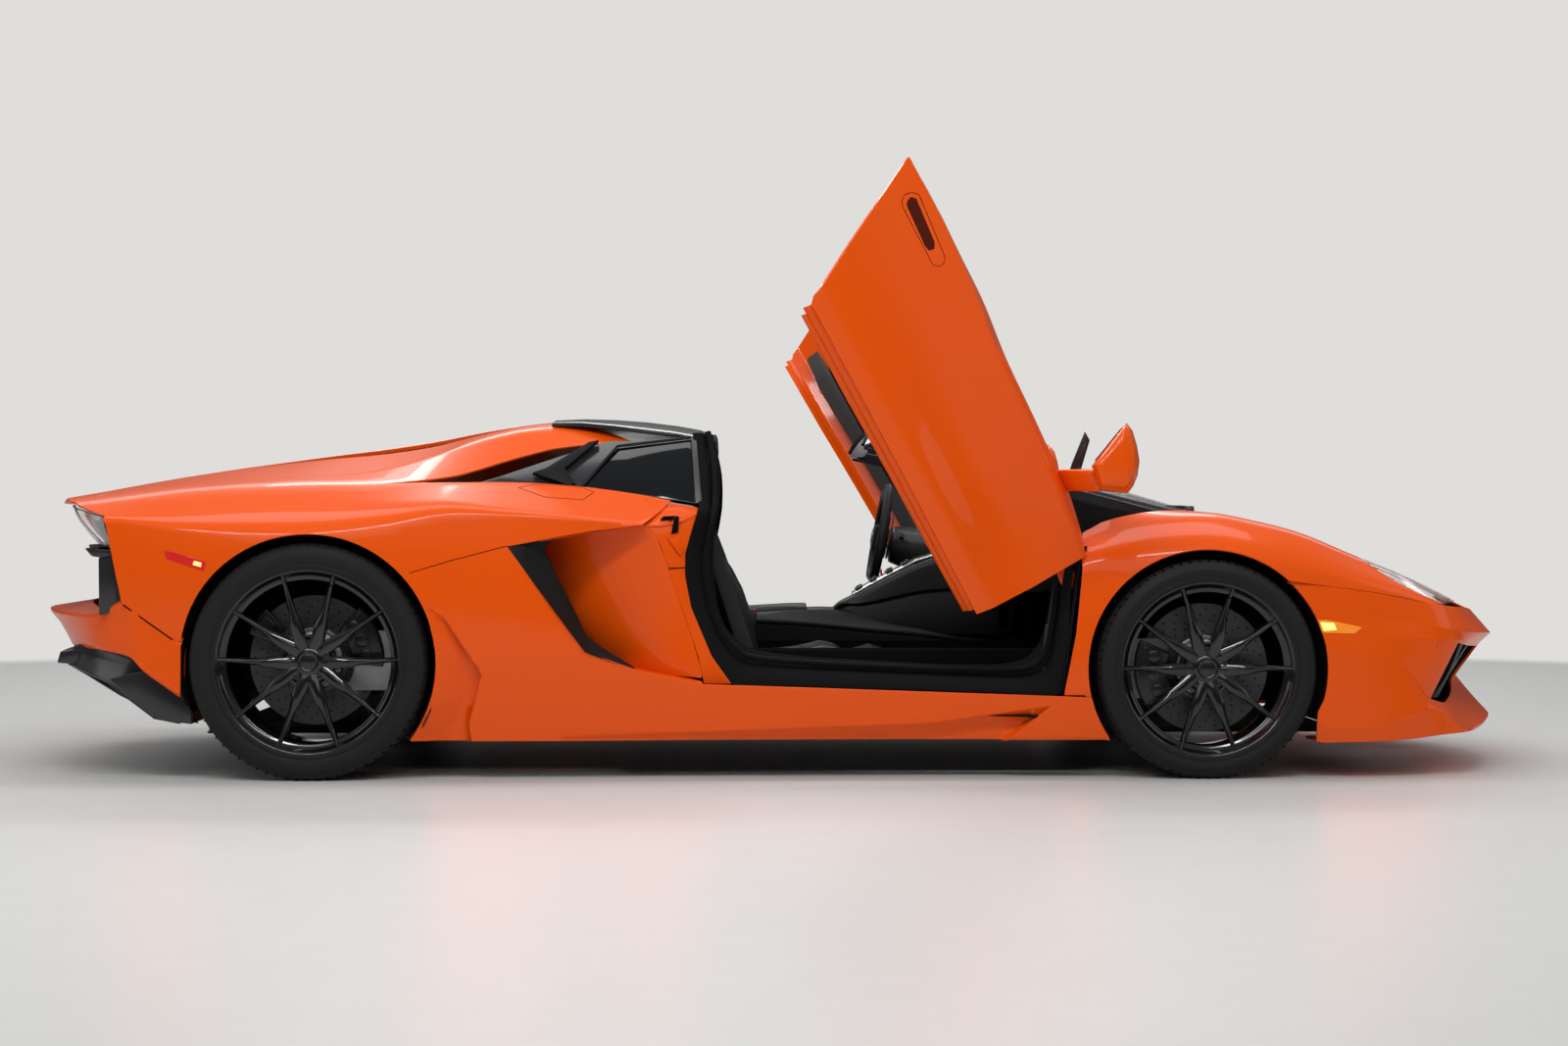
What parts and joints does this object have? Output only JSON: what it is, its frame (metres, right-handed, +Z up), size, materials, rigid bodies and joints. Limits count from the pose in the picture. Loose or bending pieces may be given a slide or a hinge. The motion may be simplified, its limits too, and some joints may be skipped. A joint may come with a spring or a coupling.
{
  "type": "mid-engined two-seat roadster supercar with raised scissor doors",
  "caption": "Low mid-engined two-seat roadster with roof panels off, scissor doors raised, wedge nose, side intakes and wide rear wings.",
  "frame": {"origin": "on the floor, on the centreline, halfway along the car", "axes": "+X forward, +Y to the left of the car, +Z up"},
  "size_m": [4.78, 2.663, 1.8326],
  "materials": {
    "paint": "gloss",
    "gloss_black": "gloss",
    "satin_black": "satin",
    "carbon": "satin",
    "screen": "gloss",
    "lamp": "gloss",
    "leather": "satin",
    "alloy": "satin",
    "iron": "satin",
    "wheel": "gloss",
    "tyre": "matte",
    "exhaust": "satin"
  },
  "bodies": {
    "chassis": {"centre_console": "satin_black", "dashboard": "satin_black", "engine": "iron", "exhaust": "exhaust", "front_bumper": "paint", "front_fender_left": "paint", "front_fender_right": "paint", "front_wishbones": "alloy", "headlights": "lamp", "rear_bumper": "paint", "rear_diffuser": "gloss_black", "rear_quarter_left": "paint", "rear_quarter_right": "paint", "rear_suspension": "alloy", "roof_bridge": "gloss_black", "seat_left": "leather", "seat_right": "leather", "side_intakes": "paint", "side_sill_left": "paint", "side_sill_right": "paint", "steering_column": "satin_black", "tail_deck": "paint", "tail_fascia": "gloss_black", "tail_lights": "lamp", "tub_and_frames": "carbon", "undertray": "gloss_black", "windscreen": "screen", "windscreen_frame": "gloss_black"},
    "door_right": {"door_right": "paint", "mirror_right": "paint"},
    "door_left": {"door_left": "paint", "mirror_left": "paint"},
    "bonnet_lid": {"bonnet": "paint"},
    "engine_lid": {"engine_cover": "paint"},
    "steered_right": {"front_knuckle_right": "iron"},
    "steered_left": {"front_knuckle_left": "iron"},
    "front_wheel_right": {"wheel_front_right": "wheel", "tyre_front_right": "tyre"},
    "front_wheel_left": {"wheel_front_left": "wheel", "tyre_front_left": "tyre"},
    "rear_wheel_right": {"wheel_rear_right": "wheel", "tyre_rear_right": "tyre"},
    "rear_wheel_left": {"wheel_rear_left": "wheel", "tyre_rear_left": "tyre"},
    "steering": {"steering_wheel": "satin_black"}
  },
  "joints": [
    {"name": "door_right_swing", "type": "hinge", "parent": "chassis", "child": "door_right", "pos_m": [0.961, -0.9, 0.649], "axis": [0, 0.9511, 0.309], "range_deg": [-60, 0]},
    {"name": "door_left_swing", "type": "hinge", "parent": "chassis", "child": "door_left", "pos_m": [0.961, 0.9, 0.649], "axis": [0, 0.9511, -0.309], "range_deg": [-60, 0]},
    {"name": "bonnet_lift", "type": "hinge", "parent": "chassis", "child": "bonnet_lid", "pos_m": [1.361, 0, 0.746], "axis": [0, -1, 0], "range_deg": [0, 32]},
    {"name": "engine_cover_lift", "type": "hinge", "parent": "chassis", "child": "engine_lid", "pos_m": [-0.611, 0, 1.041], "axis": [0, 1, 0], "range_deg": [0, 32]},
    {"name": "steer_right", "type": "hinge", "parent": "chassis", "child": "steered_right", "pos_m": [1.305, -0.8175, 0.33], "axis": [0, 0, 1], "range_deg": [-30, 30]},
    {"name": "steer_left", "type": "hinge", "parent": "chassis", "child": "steered_left", "pos_m": [1.305, 0.8175, 0.33], "axis": [0, 0, 1], "range_deg": [-30, 30]},
    {"name": "front_right_roll", "type": "hinge", "parent": "steered_right", "child": "front_wheel_right", "pos_m": [1.305, -0.8535, 0.33], "axis": [0, 1, 0], "continuous": true},
    {"name": "front_left_roll", "type": "hinge", "parent": "steered_left", "child": "front_wheel_left", "pos_m": [1.305, 0.8535, 0.33], "axis": [0, 1, 0], "continuous": true},
    {"name": "rear_right_roll", "type": "hinge", "parent": "chassis", "child": "rear_wheel_right", "pos_m": [-1.395, -0.8305, 0.355], "axis": [0, 1, 0], "continuous": true},
    {"name": "rear_left_roll", "type": "hinge", "parent": "chassis", "child": "rear_wheel_left", "pos_m": [-1.395, 0.8305, 0.355], "axis": [0, 1, 0], "continuous": true},
    {"name": "steering_wheel_turn", "type": "hinge", "parent": "chassis", "child": "steering", "pos_m": [0.385, 0.372, 0.718], "axis": [-0.9836, 0, 0.1805], "range_deg": [-390, 390]}
  ],
  "couplings": [
    {"joint": "steer_right", "follows": "steer_left", "ratio": 1},
    {"joint": "steering_wheel_turn", "follows": "steer_left", "ratio": 13}
  ]
}
